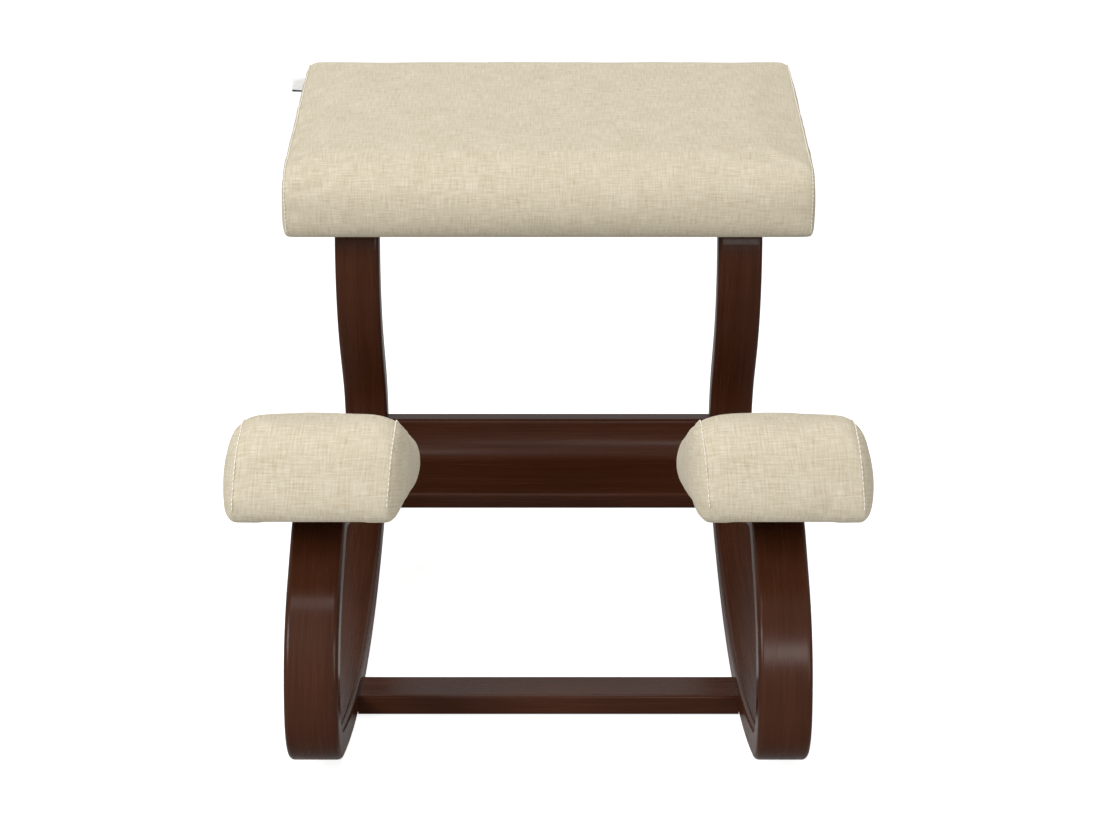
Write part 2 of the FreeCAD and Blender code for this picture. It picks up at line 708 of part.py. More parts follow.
def drill_board(board, name, bolts, base, base_words, alias, depth, depth_words):
    """Round holes of one named diameter with clearance, cut down from the height base."""
    sketch = new_sketch(board, name + "_holes", "XY_Plane", lifted(base))
    sketch.setExpression("AttachmentOffset.Base.z", base_words)
    diameter = size(alias) + 2 * size("bolt_hole_clearance")
    draw_holes(sketch, bolts, diameter, "Sizes." + alias + CLEARANCE_WORDS)
    pocket(board, sketch, name + "_drilling", depth_words, depth)


def build_upholstery(prefix, cushion, frame, bolts):
    """Board, foam, sewn cover and lining cloth of one cushion, placed on its rail."""
    fabric = size("fabric_thickness")
    fabric_words = "Sizes.fabric_thickness"
    thickness = size("board_thickness")
    top = fabric + thickness
    top_words = fabric_words + " + Sizes.board_thickness"
    board = plan_block(prefix + "_board", cushion, size("board_inset"), "Sizes.board_inset",
                       fabric, fabric_words, thickness, "Sizes.board_thickness")
    drill_board(board, prefix + "_board_barrel", bolts, top, top_words, "tee_nut_barrel",
                thickness + OVERRUN, "Sizes.board_thickness + %s" % OVERRUN)
    drill_board(board, prefix + "_board_flange", bolts, top, top_words, "tee_nut_flange",
                size("tee_nut_flange_thickness"), "Sizes.tee_nut_flange_thickness")
    soft = size("soft_clearance")
    foam = cushion_block(cushion, prefix + "_foam", fabric + soft,
                         "(Sizes.fabric_thickness + Sizes.soft_clearance)", top, top_words)
    shell = cushion_block(cushion, prefix + "_cover_outside", 0, "0", 0, "0")
    hollow = cushion_block(cushion, prefix + "_cover_inside", fabric, fabric_words, fabric, fabric_words)
    lip = size("cover_lip")
    window = plan_block(prefix + "_cover_window", cushion, lip, "Sizes.cover_lip", -OVERRUN, "-%s" % OVERRUN,
                        fabric + 2 * OVERRUN, "Sizes.fabric_thickness + 2 * %s" % OVERRUN)
    cover = cut(prefix + "_cover", cut(prefix + "_cover_skin", shell, hollow), window)
    lining = plan_block(prefix + "_lining", cushion, lip + soft, "(Sizes.cover_lip + Sizes.soft_clearance)",
                        0, "0", fabric, fabric_words)
    drill_board(lining, prefix + "_lining", bolts, fabric, fabric_words, "bolt_shank",
                fabric + OVERRUN, "Sizes.fabric_thickness + %s" % OVERRUN)
    for piece in (board, foam, cover, lining):
        piece.Placement = frame
        parts.append(piece)


def add_group(name, solids):
    """Equal fixings share one object, each a separate solid."""
    feature = doc.addObject("Part::Feature", name)
    feature.Label = name
    feature.Shape = Part.makeCompound(solids)
    parts.append(feature)


def bolt_solid(length):
    """Button head below the origin, shank upwards, hexagon socket in the head."""
    height = size("bolt_head_height")
    head = Part.makeCylinder(size("bolt_head") / 2, height, Vector(0, 0, -height))
    rim = [edge for edge in head.Edges if abs(edge.BoundBox.ZMax + height) < 0.01
           and edge.Curve.TypeId == "Part::GeomCircle"]
    head = head.makeChamfer(size("bolt_head_chamfer"), rim)
    shank = Part.makeCylinder(size("bolt_shank") / 2, length)
    radius = size("bolt_socket") / math.sqrt(3)
    below = -height - OVERRUN
    corners = [Vector(0, 0, below) + unit(60 * turn) * radius for turn in range(7)]
    hexagon = Part.Face(Part.makePolygon(corners))
    socket = hexagon.extrude(Vector(0, 0, size("bolt_socket_depth") + OVERRUN))
    return head.fuse(shank).removeSplitter().cut(socket)


def washer_solid():
    hole = size("bolt_shank") / 2 + size("bolt_hole_clearance")
    disc = Part.makeCylinder(size("washer_diameter") / 2, size("washer_thickness"))
    return disc.cut(Part.makeCylinder(hole, size("washer_thickness")))


def tee_nut_solid():
    """Flange at the origin's level, barrel hanging down from it."""
    flange_height = size("tee_nut_flange_thickness")
    flange = Part.makeCylinder(size("tee_nut_flange") / 2, flange_height, Vector(0, 0, -flange_height))
    length = size("tee_nut_length")
    barrel = Part.makeCylinder(size("tee_nut_barrel") / 2, length, Vector(0, 0, -length))
    bore = Part.makeCylinder(size("bolt_shank") / 2, length, Vector(0, 0, -length))
    return flange.fuse(barrel).removeSplitter().cut(bore)


def barrel_nut_solid():
    """Cross dowel along Z with its thread along X."""
    length = size("barrel_nut_length")
    radius = size("barrel_nut_diameter") / 2
    body = Part.makeCylinder(radius, length, Vector(0, 0, -length / 2))
    bore = Part.makeCylinder(size("bolt_shank") / 2, 4 * radius, Vector(-2 * radius, 0, 0), Vector(1, 0, 0))
    return body.cut(bore)


def dowel_solid():
    """Wooden dowel along X with chamfered ends."""
    length = size("dowel_length")
    dowel = Part.makeCylinder(size("dowel_diameter") / 2, length, Vector(-length / 2, 0, 0), Vector(1, 0, 0))
    rims = [edge for edge in dowel.Edges if edge.Curve.TypeId == "Part::GeomCircle"]
    return dowel.makeChamfer(size("dowel_chamfer"), rims)


def placed(solid, placement):
    copy = solid.copy()
    copy.Placement = placement.multiply(copy.Placement)
    return copy


def build_rail_fixings(prefix, frame, places):
    """Bolts with washers under the strap, up into the tee nuts of the board."""
    below = size("strap_thickness") + size("washer_thickness")
    top = size("fabric_thickness") + size("board_thickness")
    bolt = bolt_solid(below + top)
    spots = [frame * Placement(place, Rotation()) for place in places]
    add_group(prefix + "_bolts", [placed(bolt, spot * lifted(-below)) for spot in spots])
    add_group(prefix + "_washers", [placed(washer_solid(), spot * lifted(-below)) for spot in spots])
    add_group(prefix + "_tee_nuts", [placed(tee_nut_solid(), spot * lifted(top)) for spot in spots])


def build_side_fixings(prefix, bolts, dowels):
    """Bolts from the runners' outer faces into barrel nuts, and dowels across the joint."""
    outer = (size("runner_spacing") + size("strap_width")) / 2
    inner = outer - size("strap_width")
    seat = outer - size("counterbore_depth")
    nut_at = inner - size("barrel_nut_setback")
    length = seat - nut_at + size("barrel_nut_diameter") / 2
    solids = {"bolts": [], "nuts": [], "dowels": []}
    for word, side in SIDES:
        inward = Rotation(Vector(0, 0, 1), Vector(-side, 0, 0))
        for point, heading in bolts:
            solids["bolts"].append(
                placed(bolt_solid(length), Placement(Vector(side * seat, point.x, point.y), inward)))
            across = Rotation(Vector(1, 0, 0), heading)
            solids["nuts"].append(
                placed(barrel_nut_solid(), Placement(Vector(side * nut_at, point.x, point.y), across)))
        for point in dowels:
            spot = Placement(Vector(side * inner, point.x, point.y), Rotation())
            solids["dowels"].append(placed(dowel_solid(), spot))
    add_group(prefix + "_bolts", solids["bolts"])
    add_group(prefix + "_barrel_nuts", solids["nuts"])
    add_group(prefix + "_dowels", solids["dowels"])


def build_tag(cushion):
    """Blank woven tag that stands out of the side seam at the seat's back left."""
    box = doc.addObject("Part::Box", "side_tag")
    box.Label = "side_tag"
    for side, alias in (("Length", "tag_width"), ("Width", "tag_thickness"), ("Height", "tag_height")):
        setattr(box, side, size(alias))
        box.setExpression(side, "Sizes." + alias)
    corner = Vector(-cushion.number("width") / 2 - size("tag_width"), size("tag_back"),
                    cushion.number("thickness") - size("tag_drop") - size("tag_height"))
    box.Placement = SEAT_FRAME * Placement(corner, Rotation())
    parts.append(box)


def check_document():
    for item in doc.Objects:
        if "Invalid" in item.State or "Error" in item.State:
            raise RuntimeError("%s failed: %s" % (item.Label, item.State))
    for piece in parts:
        if piece.Shape.isNull() or not piece.Shape.isValid():
            raise RuntimeError(piece.Label + " has no valid shape")


for side_word, side_sign in SIDES:
    build_runner(side_word + "_runner", side_sign)
build_crosspiece("rear_crosspiece")
build_crossbar("floor_crossbar")

half_spacing = size("runner_spacing") / 2
SEAT = Cushion("seat")
KNEE = Cushion("knee")
seat_bolts = [Vector(side * half_spacing, place, 0)
              for word, side in SIDES for place in rail_bolt_places("seat")]
build_upholstery("seat", SEAT, SEAT_FRAME, seat_bolts)
build_rail_fixings("seat", SEAT_FRAME, seat_bolts)
knee_bolts = []
for side_word, side_sign in SIDES:
    shift = Vector(side_sign * (half_spacing - size("knee_pad_inward")), 0, 0)
    own_bolts = [Vector(side_sign * size("knee_pad_inward"), place, 0) for place in rail_bolt_places("knee")]
    build_upholstery(side_word + "_knee", KNEE, KNEE_FRAME * Placement(shift, Rotation()), own_bolts)
    knee_bolts.extend(place + shift for place in own_bolts)
build_rail_fixings("knee", KNEE_FRAME, knee_bolts)
build_side_fixings("crosspiece", CROSSPIECE_BOLTS, CROSSPIECE_DOWELS)
build_side_fixings("crossbar", CROSSBAR_BOLTS, CROSSBAR_DOWELS)
build_tag(SEAT)

doc.recompute()
check_document()
os.makedirs("parts", exist_ok=True)
for piece in parts:
    piece.Shape.exportStep("parts/" + piece.Label + ".step")
    print("%s %.1f cm3" % (piece.Label, piece.Shape.Volume / 1000))
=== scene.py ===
import math

import bpy
import numpy as np
from mathutils import Matrix, Vector, noise


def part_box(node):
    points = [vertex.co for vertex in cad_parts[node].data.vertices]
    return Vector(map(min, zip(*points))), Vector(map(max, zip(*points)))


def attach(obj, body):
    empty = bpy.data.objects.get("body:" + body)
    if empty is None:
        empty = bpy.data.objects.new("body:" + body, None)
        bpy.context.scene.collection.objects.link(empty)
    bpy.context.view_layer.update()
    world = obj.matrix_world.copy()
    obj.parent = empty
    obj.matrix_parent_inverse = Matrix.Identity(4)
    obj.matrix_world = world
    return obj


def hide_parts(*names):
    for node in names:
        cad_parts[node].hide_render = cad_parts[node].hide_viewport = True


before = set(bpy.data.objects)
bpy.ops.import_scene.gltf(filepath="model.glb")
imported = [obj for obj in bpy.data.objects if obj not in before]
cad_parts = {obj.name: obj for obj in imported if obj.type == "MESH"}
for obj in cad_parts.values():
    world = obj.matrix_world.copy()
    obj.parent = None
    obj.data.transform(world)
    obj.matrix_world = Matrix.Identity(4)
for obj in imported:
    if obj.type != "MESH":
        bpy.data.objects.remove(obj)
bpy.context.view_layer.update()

scene = bpy.context.scene

# Kneeling chair. Metres; the origin is on the floor between the rockers, -Y is the front.

# the photograph's view: 1100 by 824 pixels, looking 16 degrees down
PHOTO_WIDTH = 1100
FOCAL_PIXELS = 2155
SENSOR = 36.0
CAMERA_PLACE = (0.0014, -1.807, 0.788)
CAMERA_PITCH = math.radians(16)

FLOOR_HALF = 40.0              # far enough out to leave no edge below the horizon
FLOOR_GLOW = 0.84              # own light that only the camera sees

WEAVE_PITCH = 0.0011           # one over and one under of the linen's threads

# cushions: how they lie, and the shape of their covers
SEAT_SLOPE = math.radians(16)
SEAT_HEIGHT = 0.062
KNEE_SLOPE = math.radians(-12)
KNEE_HEIGHT = 0.084
KNEE_WEDGE = math.radians(9.9)
KNEE_LEAN = 0.006              # how far a knee pad's top stands in towards the middle of the chair
LEAN_LEVEL = 0.6               # share of the height at which a leaning pad keeps its place
CELL = 0.0045                  # side of one mesh cell
LOWER_REAR_RADIUS = 0.006
PINCH_ENDS = 0.7               # share of the pinch that draws in the front and the back
COVER_LIP = 0.022              # cover turned in under the board, round the lining
NOSE_LEAD = 0.045              # length over which the drooping nose rises to the underside
UNDERSIDE_RECESS = 0.0018      # how far the lining's field lies above the lip
SIDE_PANEL_AT = 0.5            # places the side panels' weave apart from the wrap panel's
ARC_HALF = 12                  # steps in half a corner's arc

# cloth simulation
CLOTH_PRESSURE = 4.0
CLOTH_FRAMES = 20
CLOTH_CAP = 0.004              # most that a point may move

# seams and small folds
STITCH_PITCH = 0.0042
STITCH_LENGTH = 0.0036
STITCH_RADIUS = 0.00058
STITCH_INSET = 0.3             # share of a cell from the seam to its stitching
STITCH_LIFT = 0.0004
STITCH_RINGS = 4
STITCH_SIDES = 6
PUCKER_HEIGHT = 0.0014
PUCKER_REACH = 0.016
PUCKER_WAVES = (20, 95, 95)    # waves to the metre across, along and up
UNEVEN_HEIGHT = 0.0006
UNEVEN_WAVES = 24
CREASE = ((0.041, 0.023), (0.035, -0.004))     # upper and lower end on the pad's front, (x, z)
CREASE_DEPTH = 0.0022
CREASE_HALF_WIDTH = 0.0025
CREASE_FADE = 0.004

# folded tag in the seat's left seam
TAG_REACH = 0.015
TAG_SEWN_IN = 0.004
TAG_HEIGHT = 0.0145
TAG_CLOTH = 0.0004
TAG_GAP = 0.0005               # between its two layers at the seam


def node(name):
    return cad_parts[name]


def new_piece(name, places, faces, material):
    """Mesh object with its material, added to the scene."""
    mesh = bpy.data.meshes.new(name)
    mesh.from_pydata(places, [], faces)
    mesh.materials.append(material)
    piece = bpy.data.objects.new(name, mesh)
    scene.collection.objects.link(piece)
    return piece


# materials

class Shader:
    """Small helper that adds nodes to one material and links them."""

    def __init__(self, name):
        self.material = bpy.data.materials.new(name)
        self.material.use_nodes = True
        self.tree = self.material.node_tree
        self.surface = self.tree.nodes["Principled BSDF"]

    def add(self, kind, links=None, **settings):
        made = self.tree.nodes.new(kind)
        for key, value in settings.items():
            setattr(made, key, value)
        for socket, source in (links or {}).items():
            self.tree.links.new(source, made.inputs[socket])
        return made

    def math(self, operation, first, second=0.0, clamp=False):
        made = self.tree.nodes.new("ShaderNodeMath")
        made.operation = operation
        made.use_clamp = clamp
        for index, value in enumerate((first, second)):
            if isinstance(value, (int, float)):
                made.inputs[index].default_value = value
            else:
                self.tree.links.new(value, made.inputs[index])
        return made.outputs[0]

    def noise(self, vector, scale, detail=2.0, roughness=0.5):
        made = self.add("ShaderNodeTexNoise", {"Vector": vector})
        made.inputs["Scale"].default_value = scale
        made.inputs["Detail"].default_value = detail
        made.inputs["Roughness"].default_value = roughness
        return made.outputs["Fac"]

    def stretch(self, vector, scale):
        made = self.add("ShaderNodeMapping", {"Vector": vector})
        made.inputs["Scale"].default_value = scale
        return made.outputs["Vector"]

    def ramp(self, factor, stops):
        made = self.add("ShaderNodeValToRGB", {"Fac": factor})
        elements = made.color_ramp.elements
        while len(elements) < len(stops):
            elements.new(0.5)
        for element, (place, colour) in zip(elements, stops):
            element.position = place
            element.color = (*colour, 1.0)
        return made.outputs["Color"]

    def spread(self, value, low, high, to_low, to_high):
        made = self.add("ShaderNodeMapRange", {"Value": value})
        made.inputs["From Min"].default_value = low
        made.inputs["From Max"].default_value = high
        made.inputs["To Min"].default_value = to_low
        made.inputs["To Max"].default_value = to_high
        return made.outputs["Result"]

    def mix(self, factor, first, second, blend="MIX"):
        made = self.tree.nodes.new("ShaderNodeMix")
        made.data_type = "RGBA"
        made.blend_type = blend
        for index, value in ((0, factor), (6, first), (7, second)):
            if isinstance(value, (int, float)):
                made.inputs[index].default_value = value
            elif isinstance(value, tuple):
                made.inputs[index].default_value = (*value, 1.0)
            else:
                self.tree.links.new(value, made.inputs[index])
        return made.outputs[2]

    def bump(self, height, strength, distance):
        made = self.add("ShaderNodeBump", {"Height": height})
        made.inputs["Strength"].default_value = strength
        made.inputs["Distance"].default_value = distance
        self.tree.links.new(made.outputs["Normal"], self.surface.inputs["Normal"])

    def set(self, socket, value):
        if isinstance(value, bpy.types.NodeSocket):
            self.tree.links.new(value, self.surface.inputs[socket])
        else:
            self.surface.inputs[socket].default_value = value


def srgb(red, green, blue):
    """Linear colour of an 8-bit screen colour."""
    def linear(channel):
        value = channel / 255
        return value / 12.92 if value <= 0.04045 else ((value + 0.055) / 1.055) ** 2.4
    return (linear(red), linear(green), linear(blue))


def stained_wood(name, along_x):
    """Dark walnut stain under semi-gloss lacquer; the grain runs along X or along the bend."""
    shader = Shader(name)
    place = shader.add("ShaderNodeTexCoord").outputs["Object"]
    long_way, across = (3.0, 95.0) if along_x else (95.0, 4.0)
    grain_at = shader.stretch(place, (long_way, across, across))
    grain = shader.noise(grain_at, 1.0, 4.0, 0.6)
    fine = shader.noise(shader.stretch(grain_at, (4.0, 4.0, 4.0)), 1.0, 3.0, 0.7)
    cloud = shader.noise(place, 7.0, 3.0, 0.55)
    mixed = shader.math("ADD", shader.math("MULTIPLY", grain, 0.65), shader.math("MULTIPLY", fine, 0.35))
    colour = shader.ramp(mixed, [
        (0.30, srgb(55, 27, 14)),
        (0.50, srgb(64, 33, 18)),
        (0.72, srgb(71, 38, 22)),
    ])
    blotch = shader.ramp(cloud, [(0.3, (0.80, 0.78, 0.76)), (0.7, (1.0, 1.0, 1.0))])
    shader.set("Base Color", shader.mix(1.0, colour, blotch, "MULTIPLY"))
    shader.set("Roughness", shader.spread(mixed, 0.3, 0.7, 0.22, 0.30))
    shader.set("Specular IOR Level", 0.14)
    shader.bump(mixed, 0.22, 0.0006)
    return shader.material


def linen(name):
    """Cream heathered linen: plain weave of uneven threads with darker and lighter slubs."""
    shader = Shader(name)
    attribute = shader.add("ShaderNodeAttribute", attribute_name="cloth")
    place = attribute.outputs["Vector"]
    warp_slub = shader.noise(shader.stretch(place, (700.0, 60.0, 40.0)), 1.0, 1.5, 0.5)
    weft_slub = shader.noise(shader.stretch(place, (60.0, 700.0, 40.0)), 1.0, 1.5, 0.5)
    cloud = shader.noise(shader.stretch(place, (30.0, 30.0, 30.0)), 1.0, 3.0, 0.6)
    fleck = shader.noise(shader.stretch(place, (700.0, 700.0, 60.0)), 1.0, 1.0, 0.5)
    parts = shader.add("ShaderNodeSeparateXYZ", {"Vector": place})
    thread = 2 * math.pi / WEAVE_PITCH
    warp = shader.math("SINE", shader.math("MULTIPLY", parts.outputs["X"], thread))
    weft = shader.math("SINE", shader.math("MULTIPLY", parts.outputs["Y"], thread))
    weave = shader.math("MULTIPLY", warp, weft)
    half_warp = shader.math("MULTIPLY", warp_slub, 0.5)
    half_weft = shader.math("MULTIPLY", weft_slub, 0.5)
    streaks = shader.math("ADD", half_warp, half_weft)
    mixed = shader.math("ADD", shader.math("MULTIPLY", streaks, 0.82), shader.math("MULTIPLY", fleck, 0.18))
    colour = shader.ramp(mixed, [
        (0.30, srgb(191, 176, 147)),
        (0.42, srgb(207, 196, 171)),
        (0.54, srgb(217, 208, 187)),
        (0.70, srgb(230, 223, 205)),
    ])
    tint = shader.ramp(cloud, [(0.3, (0.93, 0.92, 0.89)), (0.7, (1.0, 1.0, 1.0))])
    dyed = shader.mix(1.0, colour, tint, "MULTIPLY")
    crossing = shader.spread(weave, -1.0, 1.0, 0.90, 1.0)
    channels = {"Red": crossing, "Green": crossing, "Blue": crossing}
    shade = shader.add("ShaderNodeCombineColor", channels).outputs["Color"]
    shader.set("Base Color", shader.mix(1.0, dyed, shade, "MULTIPLY"))
    shader.set("Roughness", shader.spread(mixed, 0.3, 0.7, 0.95, 0.82))
    shader.set("Sheen Weight", 0.12)
    shader.set("Sheen Roughness", 0.5)
    shader.set("Specular IOR Level", 0.25)
    height = shader.math("ADD", shader.math("MULTIPLY", weave, 0.35), shader.math("MULTIPLY", streaks, 1.6))
    shader.bump(height, 0.5, 0.0005)
    return shader.material


def thread_material(name):
    """Off-white sewing thread, twisted."""
    shader = Shader(name)
    place = shader.add("ShaderNodeTexCoord").outputs["Object"]
    twist = shader.noise(shader.stretch(place, (900.0, 900.0, 900.0)), 1.0, 2.0, 0.6)
    shader.set("Base Color", shader.ramp(twist, [(0.3, srgb(234, 226, 212)), (0.7, srgb(250, 246, 238))]))
    shader.set("Roughness", shader.spread(twist, 0.3, 0.7, 0.6, 0.8))
    shader.set("Sheen Weight", 0.1)
    shader.bump(twist, 0.3, 0.0003)
    return shader.material


def lining_material(name):
    """Black spun-bonded lining cloth with its pressed dot pattern."""
    shader = Shader(name)
    place = shader.add("ShaderNodeTexCoord").outputs["Object"]
    dots = shader.add("ShaderNodeTexVoronoi", {"Vector": shader.stretch(place, (450.0, 450.0, 450.0))})
    felt = shader.noise(shader.stretch(place, (260.0, 260.0, 260.0)), 1.0, 4.0, 0.7)
    shader.set("Base Color", shader.ramp(felt, [(0.3, srgb(24, 23, 24)), (0.7, srgb(46, 45, 46))]))
    shader.set("Roughness", shader.spread(felt, 0.3, 0.7, 0.75, 0.95))
    shader.bump(dots.outputs["Distance"], 0.5, 0.0004)
    return shader.material


def raw_wood(name, dark, light):
    """Unfinished board edges and dowels."""
    shader = Shader(name)
    place = shader.add("ShaderNodeTexCoord").outputs["Object"]
    grain = shader.noise(shader.stretch(place, (8.0, 60.0, 600.0)), 1.0, 4.0, 0.6)
    shader.set("Base Color", shader.ramp(grain, [(0.3, dark), (0.7, light)]))
    shader.set("Roughness", shader.spread(grain, 0.3, 0.7, 0.6, 0.75))
    shader.bump(grain, 0.3, 0.0004)
    return shader.material


def steel(name, dark, light, metallic, rough):
    """Oxide-blacked or zinc-plated fixing, slightly mottled."""
    shader = Shader(name)
    place = shader.add("ShaderNodeTexCoord").outputs["Object"]
    mottle = shader.noise(place, 420.0, 3.0, 0.6)
    shader.set("Base Color", shader.ramp(mottle, [(0.3, dark), (0.7, light)]))
    shader.set("Metallic", metallic)
    shader.set("Roughness", shader.spread(mottle, 0.3, 0.7, rough - 0.06, rough + 0.08))
    shader.bump(mottle, 0.1, 0.0002)
    return shader.material


def foam_material(name):
    """Pale open-celled foam."""
    shader = Shader(name)
    place = shader.add("ShaderNodeTexCoord").outputs["Object"]
    cells = shader.noise(place, 900.0, 2.0, 0.6)
    shader.set("Base Color", shader.ramp(cells, [(0.3, srgb(214, 205, 170)), (0.7, srgb(236, 230, 200))]))
    shader.set("Roughness", 0.95)
    shader.bump(cells, 0.4, 0.0006)
    return shader.material


def tag_material(name):
    """Blank white satin tag, darker in a thin band along its lower edge."""
    shader = Shader(name)
    place = shader.add("ShaderNodeTexCoord").outputs["Object"]
    ribs = shader.noise(shader.stretch(place, (200.0, 200.0, 2600.0)), 1.0, 2.0, 0.5)
    white = shader.ramp(ribs, [(0.3, srgb(226, 227, 229)), (0.7, srgb(243, 243, 244))])
    box = shader.add("ShaderNodeTexCoord").outputs["Generated"]
    height = shader.add("ShaderNodeSeparateXYZ", {"Vector": box}).outputs["Z"]
    # darker in a thin band along the tag's lower edge
    lower_dark_band = shader.spread(height, 0.12, 0.15, 1.0, 0.0)
    shader.set("Base Color", shader.mix(lower_dark_band, white, srgb(60, 56, 58)))
    shader.set("Roughness", 0.55)
    shader.bump(ribs, 0.3, 0.0002)
    return shader.material


def dress(name, material):
    """Give a CAD node its material."""
    mesh = node(name).data
    mesh.materials.clear()
    mesh.materials.append(material)


BENT_WOOD = stained_wood("wood_bent", False)
CROSS_WOOD = stained_wood("wood_cross", True)
LINEN = linen("linen")
THREAD = thread_material("thread")
LINING = lining_material("lining_cloth")
PLYWOOD = raw_wood("plywood", srgb(178, 142, 100), srgb(214, 184, 142))
BEECH = raw_wood("beech", srgb(196, 152, 112), srgb(222, 184, 146))
BLACK_STEEL = steel("black_steel", srgb(20, 20, 21), srgb(38, 38, 40), 0.9, 0.38)
ZINC_STEEL = steel("zinc_steel", srgb(150, 152, 154), srgb(196, 198, 200), 1.0, 0.3)
FOAM = foam_material("foam")
TAG = tag_material("tag_cloth")


def dress_frame():
    """Materials of all the CAD nodes that stay in sight or inside."""
    for name in ("left_runner", "right_runner"):
        dress(name, BENT_WOOD)
    for name in ("rear_crosspiece", "floor_crossbar"):
        dress(name, CROSS_WOOD)
    for prefix in ("seat", "left_knee", "right_knee"):
        dress(prefix + "_board", PLYWOOD)
        dress(prefix + "_foam", FOAM)
        dress(prefix + "_lining", LINING)
    for prefix in ("seat", "knee"):
        dress(prefix + "_bolts", BLACK_STEEL)
        dress(prefix + "_washers", BLACK_STEEL)
        dress(prefix + "_tee_nuts", ZINC_STEEL)
    for prefix in ("crosspiece", "crossbar"):
        dress(prefix + "_bolts", BLACK_STEEL)
        dress(prefix + "_barrel_nuts", ZINC_STEEL)
        dress(prefix + "_dowels", BEECH)


# view, light and floor

def build_camera():
    """Camera in the photograph's place, with its angle of view."""
    data = bpy.data.cameras.new("camera")
    data.sensor_width = SENSOR
    data.lens = SENSOR * FOCAL_PIXELS / PHOTO_WIDTH
    camera = bpy.data.objects.new("camera", data)
    camera.location = CAMERA_PLACE
    camera.rotation_euler = (math.pi / 2 - CAMERA_PITCH, 0, 0)
    scene.collection.objects.link(camera)
    scene.camera = camera


def soft_light(name, place, target, width, height, power):
    """Rectangular area lamp turned to its target."""
    data = bpy.data.lights.new(name, "AREA")
    data.shape = "RECTANGLE"
    data.size = width
    data.size_y = height
    data.energy = power
    light = bpy.data.objects.new(name, data)
    light.location = place
    aim = Vector(target) - Vector(place)
    light.rotation_euler = aim.to_track_quat("-Z", "Y").to_euler()
    scene.collection.objects.link(light)
    return light


def white_to_camera(shader_tree, lit, background):
    """Mix that shows white to camera, glossy and transmission rays, and the lit colour to others."""
    path = shader_tree.nodes.new("ShaderNodeLightPath")
    first = shader_tree.nodes.new("ShaderNodeMath")
    first.operation = "MAXIMUM"
    second = shader_tree.nodes.new("ShaderNodeMath")
    second.operation = "MAXIMUM"
    shader_tree.links.new(path.outputs["Is Camera Ray"], first.inputs[0])
    shader_tree.links.new(path.outputs["Is Glossy Ray"], first.inputs[1])
    shader_tree.links.new(first.outputs[0], second.inputs[0])
    shader_tree.links.new(path.outputs["Is Transmission Ray"], second.inputs[1])
    mix = shader_tree.nodes.new("ShaderNodeMixShader")
    shader_tree.links.new(second.outputs[0], mix.inputs[0])
    shader_tree.links.new(lit, mix.inputs[1])
    shader_tree.links.new(background, mix.inputs[2])
    return mix.outputs[0]


def build_world():
    """Even, slightly warm light, with a white background."""
    world = bpy.data.worlds.new("world")
    world.use_nodes = True
    tree = world.node_tree
    lit = tree.nodes["Background"]
    lit.inputs["Color"].default_value = (1.0, 0.96, 0.90, 1.0)
    lit.inputs["Strength"].default_value = 0.30
    seen = tree.nodes.new("ShaderNodeBackground")
    seen.inputs["Strength"].default_value = 1.0
    mixed = white_to_camera(tree, lit.outputs[0], seen.outputs[0])
    tree.links.new(mixed, tree.nodes["World Output"].inputs["Surface"])
    scene.world = world


def build_floor():
    """Pale floor that keeps the shadow; a little own light takes its lit part to white."""
    shader = Shader("floor")
    shader.set("Base Color", (0.6, 0.6, 0.6, 1.0))
    shader.set("Roughness", 0.9)
    glow = shader.add("ShaderNodeEmission")
    path = shader.add("ShaderNodeLightPath")
    strength = shader.math("MULTIPLY", path.outputs["Is Camera Ray"], FLOOR_GLOW)
    shader.tree.links.new(strength, glow.inputs["Strength"])
    both = shader.add("ShaderNodeAddShader")
    shader.tree.links.new(shader.surface.outputs[0], both.inputs[0])
    shader.tree.links.new(glow.outputs[0], both.inputs[1])
    shader.tree.links.new(both.outputs[0], shader.tree.nodes["Material Output"].inputs["Surface"])
    half = FLOOR_HALF
    corners = [(-half, -half, 0), (half, -half, 0), (half, half, 0), (-half, half, 0)]
    new_piece("floor", corners, [(0, 1, 2, 3)], shader.material)


def build_studio():
    """Camera, light and floor as in the photograph."""
    build_camera()
    build_world()
    build_floor()
    soft_light("key", (-1.8, -2.2, 1.8), (0, 0.1, 0.3), 1.3, 1.1, 68)
    soft_light("fill", (1.7, -2.1, 1.0), (0, 0.1, 0.3), 1.0, 1.0, 19)
    soft_light("top", (0.0, 0.5, 2.6), (0, 0.2, 0.3), 2.0, 1.6, 26)
    # two small lamps that only make the soft glints on the fronts of the hooks
    left = soft_light("left_glint", (-0.357, -0.78, 1.63), (-0.186, -0.171, 0.161), 0.4, 0.3, 2.4)
    right = soft_light("right_glint", (0.358, -1.6, 0.87), (0.188, -0.195, 0.128), 0.4, 0.3, 5.0)
    left.visible_diffuse = right.visible_diffuse = False
    scene.view_settings.view_transform = "Standard"


# upholstery

